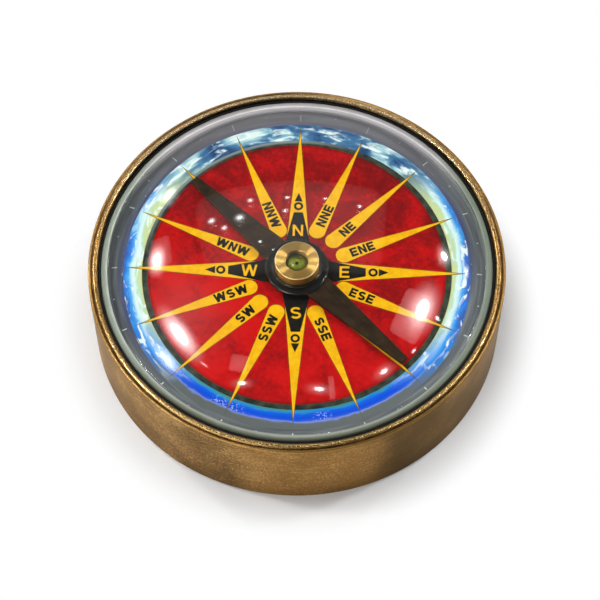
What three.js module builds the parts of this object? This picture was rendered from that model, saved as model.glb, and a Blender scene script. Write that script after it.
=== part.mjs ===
// Magnetic compass: a turned brass cup with a domed glass, a printed dial and a needle that
// turns on a steel point. Millimetres, +Z up, origin at the middle of the foot, on the table.
import * as THREE from 'three';

// Case
const CASE_RADIUS = 37.5;
const CASE_HEIGHT = 18.5;
const FLOOR_THICKNESS = 2.5;
const FOOT_WIDTH = 3.7;
const FOOT_RECESS = 0.5;
const BASE_EDGE_ROUND = 0.8;
const CAVITY_ROUND = 1.5;
const RIM_WALL = 0.6;
const RIM_EDGE_ROUND = 0.25;
const RIM_CHAMFER = 0.2;
const SHOULDER_WIDTH = 1.85;
const DIAL_LEDGE_WIDTH = 2;

// Bezel and gasket, in the rebate inside the rim
const BEZEL_WIDTH = 1.1;
const BEZEL_PROUD = 0.25;
const BEZEL_EDGE_BELOW_RIM = 0.05;
const GASKET_WIDTH = 0.45;
const GASKET_BELOW_GLASS = 0.1;

// Glass
const GLASS_BELOW_RIM = 0.2;
const FLANGE_WIDTH = 1.3;
const FLANGE_THICKNESS = 2.2;
const FLANGE_EDGE_ROUND = 0.35;
const DOME_RISE = 7.1;
const DOME_THICKNESS = 3;

// Rings and dial under the glass
const SEAT_RING_HEIGHT = 0.5;
const SPACER_WIDTH = 1.5;
const SPACER_HEIGHT = 0.85;
const CARD_THICKNESS = 0.4;
const PLATE_THICKNESS = 1.2;

// Pivot
const POST_STEM_RADIUS = 1.45;
const POST_STEM_PROUD = 0.6;
const POST_STEM_CHAMFER = 0.2;
const POST_FLANGE_WIDTH = 0.75;
const POST_FLANGE_THICKNESS = 0.4;
const WASHER_WIDTH = 1.7;
const WASHER_THICKNESS = 0.4;
const NUT_CORNERS = 6;
const NUT_ACROSS_FLATS = 5;
const NUT_HEIGHT = 1.6;
const PIN_RADIUS = 0.5;
const PIN_SEAT_DEPTH = 1.4;
const PIN_POINT_LENGTH = 1.1;

// Needle
const NEEDLE_REST_ANGLE = -43.5;
const NEEDLE_LIFT = 0.3;
const NEEDLE_THICKNESS = 0.5;
const NEEDLE_TIP_CLEARANCE = 7.1;
const NEEDLE_TIP_WIDTH = 1.6;
const NEEDLE_WIDTH = 6;
const HUB_BORE_RADIUS = 1.2;
const HUB_SPIGOT_WALL = 0.5;
const HUB_FLANGE_WIDTH = 1.1;
const HUB_FLANGE_THICKNESS = 0.5;
const HUB_FLANGE_ROUND = 0.3;
const HUB_COLLAR_WIDTH = 0.6;
const HUB_COLLAR_HEIGHT = 0.35;
const CAP_RADIUS = 3.95;
const CAP_LIP_HEIGHT = 1.15;
const CAP_EDGE_CHAMFER = 0.1;
const CAP_HOLE_RADIUS = 2.04;
const CAP_HOLE_CHAMFER = 0.12;
const JEWEL_LIP = 0.3;
const JEWEL_SKIRT_HEIGHT = 0.9;
const JEWEL_DOME_RISE = 0.85;
const JEWEL_CUP_RADIUS = 0.9;
const JEWEL_CUP_DEPTH = 0.75;

// Clearances
const RING_FIT = 0.05;
const PIVOT_PLAY = 0.08;

// Facets
const LARGE_RING_SIDES = 64;
const CAP_SIDES = 36;
const PIVOT_SIDES = 24;
const DOME_STEPS = 8;
const CROWN_STEPS = 6;
const SMALL_ARC_STEPS = 4;
const EDGE_STEPS = 3;
const EYE_STEPS = 2;

// Radii, from the rim inwards
const rebateRadius = CASE_RADIUS - RIM_WALL;
const bezelOuter = rebateRadius - RING_FIT;
const bezelInner = bezelOuter - BEZEL_WIDTH;
const gasketOuter = bezelInner - RING_FIT;
const gasketInner = gasketOuter - GASKET_WIDTH;
const glassRadius = gasketInner - RING_FIT;
const domeRadius = glassRadius - FLANGE_WIDTH;
const boreRadius = rebateRadius - SHOULDER_WIDTH;
const cavityRadius = boreRadius - DIAL_LEDGE_WIDTH;
const dialRadius = boreRadius - RING_FIT;
const spacerInner = dialRadius - SPACER_WIDTH;

// Heights, from the rim downwards
const flangeTop = CASE_HEIGHT - GLASS_BELOW_RIM;
const flangeBottom = flangeTop - FLANGE_THICKNESS;
const shoulderTop = flangeBottom - SEAT_RING_HEIGHT;
const cardTop = shoulderTop - SPACER_HEIGHT;
const plateTop = cardTop - CARD_THICKNESS;
const plateBottom = plateTop - PLATE_THICKNESS;
const floorTop = FOOT_RECESS + FLOOR_THICKNESS;

// The glass is bounded by two spheres with one centre
const domeOuterSphere = (domeRadius ** 2 + DOME_RISE ** 2) / (2 * DOME_RISE);
const domeInnerSphere = domeOuterSphere - DOME_THICKNESS;
const domeApex = flangeTop + DOME_RISE;
const domeCentre = domeApex - domeOuterSphere;

// Heights of the pivot and the needle, up and down from the dial
const postTop = cardTop + POST_FLANGE_THICKNESS;
const pinBottom = postTop - PIN_SEAT_DEPTH;
const barBottom = postTop + NEEDLE_LIFT;
const barTop = barBottom + NEEDLE_THICKNESS;
const hubFlangeTop = barTop + HUB_FLANGE_THICKNESS;
const jewelShoulder = hubFlangeTop + JEWEL_SKIRT_HEIGHT;
const jewelCupTop = hubFlangeTop + JEWEL_CUP_DEPTH;
const capTop = jewelShoulder + CAP_LIP_HEIGHT;
const pinTip = jewelCupTop - PIVOT_PLAY;
const washerBottom = plateBottom - WASHER_THICKNESS;
const nutBottom = washerBottom - NUT_HEIGHT;

// Radii of the pivot and the needle
const stemHoleRadius = POST_STEM_RADIUS + RING_FIT;
const hubSpigotRadius = HUB_BORE_RADIUS + HUB_SPIGOT_WALL;
const collarInner = CAP_RADIUS + RING_FIT;
const collarOuter = collarInner + HUB_COLLAR_WIDTH;
const hubFlangeRadius = collarOuter + HUB_FLANGE_WIDTH;
const capBoreRadius = CAP_HOLE_RADIUS + JEWEL_LIP;
const needleReach = spacerInner - NEEDLE_TIP_CLEARANCE;

const QUARTER = Math.PI / 2;
const SAME_POINT = 1e-6;

function metal(color, roughness) {
  return new THREE.MeshStandardMaterial({ color, roughness, metalness: 1 });
}

function coating(color, roughness) {
  return new THREE.MeshStandardMaterial({ color, roughness, metalness: 0 });
}

const casedBrass = metal(0xb08d57, 0.42);
const turnedBrass = metal(0xd9b56b, 0.25);
const steel = metal(0xb4b6b8, 0.3);
const aluminium = metal(0xc4c6c8, 0.45);
const blackLacquer = coating(0x2a2622, 0.4);
const blackMoulding = coating(0x14110f, 0.2);
const blackRubber = coating(0x101010, 0.7);
const dialRed = coating(0xc8141a, 0.6);
const dialGrey = coating(0x64666a, 0.6);
const paleSeat = coating(0xaab4a5, 0.6);
const clearGlass = new THREE.MeshStandardMaterial({
  color: 0xe8f2ee, roughness: 0.02, metalness: 0, transparent: true, opacity: 0.35,
});
const greenGlass = new THREE.MeshStandardMaterial({
  color: 0x8fa51e, roughness: 0.08, metalness: 0, transparent: true, opacity: 0.7,
});

// A point of an outline: radius and height in a profile, x and y in a flat shape
function at(x, y) {
  return new THREE.Vector2(x, y);
}

// Points of an arc about a centre, from one angle to another
function arc(x, y, radius, from, to, steps) {
  return new THREE.EllipseCurve(x, y, radius, radius, from, to, to < from).getPoints(steps);
}

// Points of a sphere on the axis, from its top down to a height
function capArc(centre, sphere, height, steps) {
  const edgeAngle = Math.asin((height - centre) / sphere);
  const points = arc(0, centre, sphere, QUARTER, edgeAngle, steps);
  points[0].x = 0;
  return points;
}

// A profile without the points that repeat the one before them
function distinct(profile) {
  return profile.filter((point, i) => i === 0 || point.distanceTo(profile[i - 1]) > SAME_POINT);
}

// Solid of revolution about +Z from a profile that closes on itself or ends on the axis
function revolve(profile, sides) {
  const outline = distinct(profile);
  if (THREE.ShapeUtils.isClockWise(outline)) outline.reverse();
  const first = outline[0];
  const last = outline[outline.length - 1];
  const onAxis = first.x === 0 && last.x === 0;
  const points = onAxis ? outline : [...outline, first.clone()];
  return new THREE.LatheGeometry(points, sides).rotateX(QUARTER);
}

function ring(inner, outer, bottom, top, sides) {
  return revolve([at(inner, bottom), at(outer, bottom), at(outer, top), at(inner, top)], sides);
}

function piece(name, geometry, material) {
  const mesh = new THREE.Mesh(geometry, material);
  mesh.name = name;
  return mesh;
}

// Cup: foot ring and recess below, rounded wall, rebate, shoulder and dial ledge inside
function caseBody() {
  const footInner = CASE_RADIUS - BASE_EDGE_ROUND - FOOT_WIDTH;
  const baseArc = CASE_RADIUS - BASE_EDGE_ROUND;
  const rimArc = CASE_RADIUS - RIM_EDGE_ROUND;
  const rimChamfer = Math.min(RIM_CHAMFER, RIM_WALL - RIM_EDGE_ROUND);
  const profile = [
    at(0, FOOT_RECESS),
    at(footInner, FOOT_RECESS),
    at(footInner, 0),
    ...arc(baseArc, BASE_EDGE_ROUND, BASE_EDGE_ROUND, -QUARTER, 0, EDGE_STEPS),
    ...arc(rimArc, CASE_HEIGHT - RIM_EDGE_ROUND, RIM_EDGE_ROUND, 0, QUARTER, EDGE_STEPS),
    at(rebateRadius + rimChamfer, CASE_HEIGHT),
    at(rebateRadius, CASE_HEIGHT - rimChamfer),
    at(rebateRadius, shoulderTop),
    at(boreRadius, shoulderTop),
    at(boreRadius, plateBottom),
    at(cavityRadius, plateBottom),
    ...arc(cavityRadius - CAVITY_ROUND, floorTop + CAVITY_ROUND, CAVITY_ROUND, 0, -QUARTER, EDGE_STEPS),
    at(0, floorTop),
  ];
  return piece('case_body', revolve(profile, LARGE_RING_SIDES), casedBrass);
}

// Ring with a low round crown that stands proud of the rim
function bezelRing() {
  const halfWidth = BEZEL_WIDTH / 2;
  const rise = BEZEL_PROUD + BEZEL_EDGE_BELOW_RIM;
  const crownRadius = (halfWidth ** 2 + rise ** 2) / (2 * rise);
  const crownHeight = CASE_HEIGHT + BEZEL_PROUD - crownRadius;
  const edgeAngle = Math.acos(halfWidth / crownRadius);
  const profile = [
    at(bezelInner, shoulderTop),
    at(bezelOuter, shoulderTop),
    ...arc(bezelInner + halfWidth, crownHeight, crownRadius, edgeAngle, Math.PI - edgeAngle, CROWN_STEPS),
  ];
  return piece('bezel_ring', revolve(profile, LARGE_RING_SIDES), casedBrass);
}

function lensGasket() {
  const top = flangeTop - GASKET_BELOW_GLASS;
  const geometry = ring(gasketInner, gasketOuter, shoulderTop, top, LARGE_RING_SIDES);
  return piece('lens_gasket', geometry, blackRubber);
}

// Hollow dome whose flat flange lies on the seat ring
function lensDome() {
  const edgeCentre = glassRadius - FLANGE_EDGE_ROUND;
  const profile = [
    ...capArc(domeCentre, domeInnerSphere, flangeBottom, DOME_STEPS),
    at(glassRadius, flangeBottom),
    ...arc(edgeCentre, flangeTop - FLANGE_EDGE_ROUND, FLANGE_EDGE_ROUND, 0, QUARTER, EDGE_STEPS),
    ...capArc(domeCentre, domeOuterSphere, flangeTop, DOME_STEPS).reverse(),
  ];
  return piece('lens_dome', revolve(profile, LARGE_RING_SIDES), clearGlass);
}

function lensSeatRing() {
  const geometry = ring(domeRadius, glassRadius, shoulderTop, flangeBottom, LARGE_RING_SIDES);
  return piece('lens_seat_ring', geometry, paleSeat);
}

function dialSpacerRing() {
  const geometry = ring(spacerInner, dialRadius, cardTop, shoulderTop, LARGE_RING_SIDES);
  return piece('dial_spacer_ring', geometry, dialGrey);
}

function dialCard() {
  const geometry = ring(stemHoleRadius, dialRadius, plateTop, cardTop, LARGE_RING_SIDES);
  return piece('dial_card', geometry, dialRed);
}

function dialPlate() {
  const geometry = ring(stemHoleRadius, dialRadius, plateBottom, plateTop, LARGE_RING_SIDES);
  return piece('dial_plate', geometry, aluminium);
}

// Post: flange on the card, stem down through the plate, blind hole for the pin
function pivotPost() {
  const stemBottom = nutBottom - POST_STEM_PROUD;
  const pinHoleRadius = PIN_RADIUS + RING_FIT;
  const flangeRadius = POST_STEM_RADIUS + POST_FLANGE_WIDTH;
  const profile = [
    at(0, stemBottom),
    at(POST_STEM_RADIUS - POST_STEM_CHAMFER, stemBottom),
    at(POST_STEM_RADIUS, stemBottom + POST_STEM_CHAMFER),
    at(POST_STEM_RADIUS, cardTop),
    at(flangeRadius, cardTop),
    at(flangeRadius, postTop),
    at(pinHoleRadius, postTop),
    at(pinHoleRadius, pinBottom),
    at(0, pinBottom),
  ];
  return piece('pivot_post', revolve(profile, PIVOT_SIDES), turnedBrass);
}

function pivotPin() {
  const profile = [
    at(0, pinBottom),
    at(PIN_RADIUS, pinBottom),
    at(PIN_RADIUS, pinTip - PIN_POINT_LENGTH),
    at(0, pinTip),
  ];
  return piece('pivot_pin', revolve(profile, PIVOT_SIDES), steel);
}

function pivotWasher() {
  const outer = stemHoleRadius + WASHER_WIDTH;
  const geometry = ring(stemHoleRadius, outer, washerBottom, plateBottom, PIVOT_SIDES);
  return piece('pivot_washer', geometry, turnedBrass);
}

function pivotNut() {
  const cornerRadius = NUT_ACROSS_FLATS / 2 / Math.cos(Math.PI / NUT_CORNERS);
  const corners = [];
  for (let corner = 0; corner < NUT_CORNERS; corner += 1) {
    const angle = (2 * Math.PI * corner) / NUT_CORNERS;
    corners.push(at(cornerRadius * Math.cos(angle), cornerRadius * Math.sin(angle)));
  }
  const outline = new THREE.Shape(corners);
  outline.holes.push(new THREE.Path().absarc(0, 0, stemHoleRadius, 0, 2 * Math.PI, true));
  const geometry = new THREE.ExtrudeGeometry(outline, {
    depth: NUT_HEIGHT, bevelEnabled: false, curveSegments: PIVOT_SIDES / 2,
  });
  return piece('pivot_nut', geometry.translate(0, 0, nutBottom), turnedBrass);
}

// Lozenge: straight sides that touch a round eye in the middle and run out to blunt tips
function needleBar() {
  const eyeRadius = NEEDLE_WIDTH / 2;
  const halfTip = NEEDLE_TIP_WIDTH / 2;
  const cornerReach = Math.hypot(needleReach, halfTip);
  const touchAngle = Math.atan2(halfTip, needleReach) + Math.acos(eyeRadius / cornerReach);
  const outline = new THREE.Shape([
    at(needleReach, -halfTip),
    at(needleReach, halfTip),
    ...arc(0, 0, eyeRadius, touchAngle, Math.PI - touchAngle, EYE_STEPS),
    at(-needleReach, halfTip),
    at(-needleReach, -halfTip),
    ...arc(0, 0, eyeRadius, Math.PI + touchAngle, 2 * Math.PI - touchAngle, EYE_STEPS),
  ]);
  const eyeHole = hubSpigotRadius + RING_FIT;
  outline.holes.push(new THREE.Path().absarc(0, 0, eyeHole, 0, 2 * Math.PI, true));
  const geometry = new THREE.ExtrudeGeometry(outline, {
    depth: NEEDLE_THICKNESS, bevelEnabled: false, curveSegments: PIVOT_SIDES / 2,
  });
  return piece('needle_bar', geometry.translate(0, 0, barBottom), blackLacquer);
}

// Hub: spigot through the bar's eye, flange over it, raised collar around the cap
function needleHub() {
  const flangeArc = hubFlangeRadius - HUB_FLANGE_ROUND;
  const collarRound = Math.min(HUB_COLLAR_WIDTH / 2, HUB_COLLAR_HEIGHT);
  const collarArc = hubFlangeTop + HUB_COLLAR_HEIGHT - collarRound;
  const profile = [
    at(HUB_BORE_RADIUS, barBottom),
    at(hubSpigotRadius, barBottom),
    at(hubSpigotRadius, barTop),
    at(hubFlangeRadius, barTop),
    ...arc(flangeArc, hubFlangeTop - HUB_FLANGE_ROUND, HUB_FLANGE_ROUND, 0, QUARTER, EDGE_STEPS),
    at(collarOuter, hubFlangeTop),
    ...arc(collarOuter - collarRound, collarArc, collarRound, 0, QUARTER, EDGE_STEPS),
    ...arc(collarInner + collarRound, collarArc, collarRound, QUARTER, Math.PI, EDGE_STEPS),
    at(collarInner, hubFlangeTop),
    at(HUB_BORE_RADIUS, hubFlangeTop),
  ];
  return piece('needle_hub', revolve(profile, CAP_SIDES), blackMoulding);
}

// Cap: chamfered rim, round window, wider bore below that the jewel is pressed into
function needleCap() {
  const profile = [
    at(capBoreRadius, hubFlangeTop),
    at(CAP_RADIUS, hubFlangeTop),
    at(CAP_RADIUS, capTop - CAP_EDGE_CHAMFER),
    at(CAP_RADIUS - CAP_EDGE_CHAMFER, capTop),
    at(CAP_HOLE_RADIUS + CAP_HOLE_CHAMFER, capTop),
    at(CAP_HOLE_RADIUS, capTop - CAP_HOLE_CHAMFER),
    at(CAP_HOLE_RADIUS, jewelShoulder),
    at(capBoreRadius, jewelShoulder),
  ];
  return piece('needle_cap', revolve(profile, CAP_SIDES), turnedBrass);
}

// Jewel: skirt held between the hub and the cap's lip, rounded top, conical cup for the point
function capJewel() {
  const jewelRadius = capBoreRadius - RING_FIT;
  const domeBase = CAP_HOLE_RADIUS - RING_FIT;
  const sphere = (domeBase ** 2 + JEWEL_DOME_RISE ** 2) / (2 * JEWEL_DOME_RISE);
  const centre = jewelShoulder + JEWEL_DOME_RISE - sphere;
  const profile = [
    at(0, jewelCupTop),
    at(JEWEL_CUP_RADIUS, hubFlangeTop),
    at(jewelRadius, hubFlangeTop),
    at(jewelRadius, jewelShoulder),
    ...capArc(centre, sphere, jewelShoulder, SMALL_ARC_STEPS).reverse(),
  ];
  return piece('cap_jewel', revolve(profile, CAP_SIDES), greenGlass);
}

const needle = new THREE.Group();
needle.add(needleBar(), needleHub(), needleCap(), capJewel());
needle.rotation.z = THREE.MathUtils.degToRad(NEEDLE_REST_ANGLE);

const compass = new THREE.Group();
compass.add(caseBody(), bezelRing(), lensGasket(), lensDome(), lensSeatRing());
compass.add(dialSpacerRing(), dialCard(), dialPlate());
compass.add(pivotPost(), pivotPin(), pivotWasher(), pivotNut());
compass.add(needle);

export default compass;
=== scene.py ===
from math import acos, asin, atan2, cos, degrees, dist, hypot, pi, radians, sin, sqrt

import bmesh
import bpy
from mathutils import Matrix, Vector


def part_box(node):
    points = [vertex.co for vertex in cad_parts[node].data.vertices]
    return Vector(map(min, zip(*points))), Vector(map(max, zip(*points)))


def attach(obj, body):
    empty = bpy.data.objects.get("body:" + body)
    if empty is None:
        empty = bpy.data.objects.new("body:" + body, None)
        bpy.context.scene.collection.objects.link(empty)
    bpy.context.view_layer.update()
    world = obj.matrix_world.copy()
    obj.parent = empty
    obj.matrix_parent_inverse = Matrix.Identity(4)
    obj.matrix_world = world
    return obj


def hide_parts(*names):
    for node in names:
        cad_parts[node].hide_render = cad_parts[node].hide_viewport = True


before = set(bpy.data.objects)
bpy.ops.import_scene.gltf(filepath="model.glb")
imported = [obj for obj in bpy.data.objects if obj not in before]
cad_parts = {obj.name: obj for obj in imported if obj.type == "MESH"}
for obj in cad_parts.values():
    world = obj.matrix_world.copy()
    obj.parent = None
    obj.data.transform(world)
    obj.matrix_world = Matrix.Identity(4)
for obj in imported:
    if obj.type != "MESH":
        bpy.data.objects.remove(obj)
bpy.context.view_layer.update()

# Lengths in this script are millimetres, and MM turns them into Blender's metres
MM = 0.001


def extent(node):
    """Outer radius, bottom and top of a round node."""
    low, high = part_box(node)
    return high.x / MM, low.z / MM, high.z / MM


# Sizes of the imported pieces
case_radius, _, case_top = extent("case_body")
bezel_outer, shoulder_level, bezel_top = extent("bezel_ring")
gasket_outer, _, gasket_top = extent("lens_gasket")
glass_radius, flange_bottom, dome_apex = extent("lens_dome")
spacer_outer, card_top, _ = extent("dial_spacer_ring")
card_radius, card_bottom, _ = extent("dial_card")
_, plate_bottom, _ = extent("dial_plate")
_, bar_bottom, bar_top = extent("needle_bar")
hub_radius, hub_bottom, hub_top = extent("needle_hub")
cap_radius, cap_bottom, cap_top = extent("needle_cap")
jewel_radius, _, jewel_top = extent("cap_jewel")

# Widths and rounds inside those pieces
RING_FIT = 0.05
FLOOR_TOP = 3.0
FOOT_WIDTH = 3.7
FOOT_RECESS = 0.5
BASE_EDGE_ROUND = 0.8
RIM_EDGE_ROUND = 0.25
RIM_CHAMFER = 0.2
CROWN_EDGE_BELOW_RIM = 0.05
CAVITY_ROUND = 1.5
DIAL_LEDGE_WIDTH = 2.0
FLANGE_WIDTH = 1.3
FLANGE_THICKNESS = 2.2
FLANGE_EDGE_ROUND = 0.35
FLANGE_FILLET = 0.8
DOME_THICKNESS = 3.0
SPACER_WIDTH = 1.5
STEM_HOLE_RADIUS = 1.5
NEEDLE_REST_ANGLE = -43.5
NEEDLE_REACH = 26.4
NEEDLE_TIP_WIDTH = 1.6
NEEDLE_WIDTH = 6.0
NEEDLE_EDGE_ROUND = 0.12
HUB_BORE_RADIUS = 1.2
HUB_SPIGOT_RADIUS = 1.7
HUB_FLANGE_ROUND = 0.3
HUB_COLLAR_WIDTH = 0.6
HUB_COLLAR_ROUND = 0.22
CAP_EDGE_ROUND = 0.15
CAP_HOLE_RADIUS = 2.04
CAP_HOLE_CHAMFER = 0.12
CAP_SIDE_DEPTH = 0.02
JEWEL_SKIRT_HEIGHT = 0.9
JEWEL_CUP_RADIUS = 0.9
JEWEL_CUP_DEPTH = 0.75

# Bearings on the wall of a stain and of a painted reflection, and the width of the painted highlight at the
# glass's foot
STAIN_BEARING = 147
SHEEN_BEARING = 175
SHEEN_WIDTH = 1.9

# The dial's print, as radii from the pivot
RED_EDGE = 26.6
LINE_EDGE = 27.6
SEA_EDGE = 30.9
INDIGO_EDGE = 32.0
# Bearings, radius and reach of the painted glints on the sea ring
GLINT_BEARINGS = (170, 200, 206)
GLINT_AT = 29.8
GLINT_REACH = 2.2
INK_STEP = 0.012
POINT_COUNT = 16
RAY_TIP = 29.3
RAY_ROUND_CENTRE = 9.1
RAY_ROUND_RADIUS = 1.5
RAY_OUTLINE = 0.11
CARDINAL_TIP = 29.4
CARDINAL_BASE = 7.2
CARDINAL_HALF_WIDTH = 1.95
WEDGE_BASE = 4.2
WEDGE_TIP = 16.0
WEDGE_END = 12.3
ARROW_BASE = 14.6
ARROW_TIP = 16.4
ARROW_HALF_WIDTH = 0.75
ORNAMENT_AT = 13.6
ORNAMENT_OUTER = 0.85
ORNAMENT_INNER = 0.42
TICK_COUNT = 32
TICK_OUTER = 32.7
TICK_LONG = 1.0
TICK_SHORT = 0.3
TICK_WIDTH = 0.19
BIG_LETTER_AT = 8.5
BIG_LETTER_HEIGHT = 2.35
BIG_LETTER_STROKE = 0.17
LABEL_AT = 12.6
LABEL_HEIGHT = 1.78
LABEL_STROKE = 0.24
LETTER_GAP = 0.13
LETTER_WIDTHS = {"N": 0.8, "E": 0.74, "S": 0.8, "W": 1.22}
CARDINALS = {0: "N", 90: "E", 180: "S", 270: "W"}
LABELS = ("NNE", "NE", "ENE", "ESE", "SE", "SSE", "SSW", "SW", "WSW", "WNW", "NW", "NNW")

# How finely round things are drawn
TURNED_SIDES = 256
DOME_STEPS = 48
EDGE_STEPS = 8
BAR_EDGE_STEPS = 3
EYE_SIDES = 48
ORNAMENT_SIDES = 24
SHARP_ANGLE = radians(32)
SAME_POINT = 1e-6
LONG_STRAIGHT = 1.0
STRAIGHT_END = 0.03


def rgb(*channels):
    """Linear values of a colour given as it looks on screen, 0 to 255."""
    linear = [((c / 255 + 0.055) / 1.055) ** 2.4 if c > 10 else c / 255 / 12.92 for c in channels]
    return (*linear, 1.0)


# Mesh helpers


def arc(radius, level, size, start, end, steps=EDGE_STEPS):
    """Points of an arc in a section, from one angle in degrees to another."""
    angles = [radians(start + (end - start) * i / steps) for i in range(steps + 1)]
    return [(radius + size * cos(a), level + size * sin(a)) for a in angles]


def outer_round(radius, top, size):
    """Rounded top edge of a wall that faces outwards."""
    return arc(radius - size, top - size, size, 0, 90)


def inner_round(radius, top, size):
    """Rounded top edge of a wall that faces the axis."""
    return arc(radius + size, top - size, size, 90, 180)


def bulge(half_width, rise):
    """Radius of a round that stands a rise over its chord."""
    return (half_width**2 + rise**2) / (2 * rise)


def circle(radius, sides, x=0, y=0):
    """Points of a round outline about a middle."""
    turns = [2 * pi * i / sides for i in range(sides)]
    return [(x + radius * cos(t), y + radius * sin(t)) for t in turns]


def supported(points):
    """Points of a section with two more on each long straight, near its ends, to keep its shading flat."""
    kept = []
    for point, following in zip(points, points[1:] + points[:1]):
        kept.append(point)
        length = dist(point, following)
        on_axis = max(point[0], following[0]) < SAME_POINT
        if length > LONG_STRAIGHT and not on_axis:
            for share in (STRAIGHT_END / length, 1 - STRAIGHT_END / length):
                kept.append(tuple(a + (b - a) * share for a, b in zip(point, following)))
    return kept


def new_object(name, data):
    thing = bpy.data.objects.new(name, data)
    bpy.context.collection.objects.link(thing)
    return thing


def mesh_object(name, shape, materials):
    """An object from a bmesh, smooth except at sharp edges."""
    bmesh.ops.recalc_face_normals(shape, faces=shape.faces)
    for face in shape.faces:
        face.smooth = True
    mesh = bpy.data.meshes.new(name)
    shape.to_mesh(mesh)
    shape.free()
    mesh.set_sharp_from_angle(angle=SHARP_ANGLE)
    for material in materials:
        mesh.materials.append(material)
    return new_object(name, mesh)


def loop_at(shape, outline, level):
    """Vertices of a flat outline of (x, y) points, at a level."""
    return [shape.verts.new((x * MM, y * MM, level * MM)) for x, y in outline]


def join(shape, loop, following):
    """Adds the faces between two loops of as many vertices."""
    for i in range(len(loop)):
        j = (i + 1) % len(loop)
        shape.faces.new((loop[i], loop[j], following[j], following[i]))


def revolve(name, profile, material, zones=()):
    """A closed solid turned about Z from (radius, level) points; zones give materials past given radii."""
    shape = bmesh.new()
    rings = []
    for radius, level in supported(profile):
        outline = [(0, 0)] if radius < SAME_POINT else circle(radius, TURNED_SIDES)
        rings.append(loop_at(shape, outline, level))
    for ring, following in zip(rings, rings[1:] + rings[:1]):
        if len(ring) == len(following) == 1:
            continue
        for i in range(TURNED_SIDES):
            places = ((ring, i), (ring, i + 1), (following, i + 1), (following, i))
            corners = [loop[k % len(loop)] for loop, k in places]
            face = shape.faces.new(list(dict.fromkeys(corners)))
            middle = face.calc_center_median()
            face.material_index = sum(hypot(middle.x, middle.y) > limit * MM for limit, _ in zones)
    return mesh_object(name, shape, [material, *(zone for _, zone in zones)])


def prism(shape, outline, bottom, top):
    """Adds a closed prism over a flat outline of (x, y) points."""
    lower = loop_at(shape, outline, bottom)
    upper = loop_at(shape, outline, top)
    shape.faces.new(lower)
    shape.faces.new(upper)
    join(shape, lower, upper)


def pierced_plate(shape, outline, hole, bottom, top):
    """Adds a closed plate over a flat outline, with a hole through it."""
    edges = []
    for points in (outline, hole):
        loop = loop_at(shape, points, bottom)
        edges += [shape.edges.new(pair) for pair in zip(loop, loop[1:] + loop[:1])]
    bmesh.ops.triangle_fill(shape, edges=edges, use_beauty=True)
    raised = bmesh.ops.extrude_face_region(shape, geom=shape.faces[:], use_keep_orig=True)
    corners = [part for part in raised["geom"] if isinstance(part, bmesh.types.BMVert)]
    bmesh.ops.translate(shape, vec=(0, 0, (top - bottom) * MM), verts=corners)


def on_dial(bearing, radius, side=0):
    """x and y of a point out along a bearing, clockwise from north, then to the right of it."""
    turn = radians(bearing)
    return (
        radius * sin(turn) + side * cos(turn),
        radius * cos(turn) - side * sin(turn),
    )


# Node helpers


class Nodes:
    """A node tree with short calls."""

    def __init__(self, owner):
        owner.use_nodes = True
        self.tree = owner.node_tree
        self.tree.nodes.clear()

    def node(self, kind, values=None, **settings):
        node = self.tree.nodes.new(kind)
        for key, value in settings.items():
            setattr(node, key, value)
        for key, value in (values or {}).items():
            self.put(node.inputs[key], value)
        return node

    def put(self, socket, value):
        """Links an output to a socket, or sets the socket's own value."""
        if isinstance(value, bpy.types.NodeSocket):
            self.tree.links.new(value, socket)
        else:
            socket.default_value = value

    def math(self, operation, *values):
        return self.node("ShaderNodeMath", dict(enumerate(values)), operation=operation).outputs[0]

    def times(self, first, second):
        return self.math("MULTIPLY", first, second)

    def ramp(self, factor, *stops):
        """Colours along a factor, from (position, colour) stops."""
        node = self.node("ShaderNodeValToRGB", {"Fac": factor})
        elements = node.color_ramp.elements
        while len(elements) < len(stops):
            elements.new(1)
        for element, (position, colour) in zip(elements, stops):
            element.position = position
            element.color = colour
        return node.outputs["Color"]

    def tones(self, factor, *stops):
        """The same from (position, red, green, blue) stops, as on screen."""
        return self.ramp(factor, *((position, rgb(*colour)) for position, *colour in stops))


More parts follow.
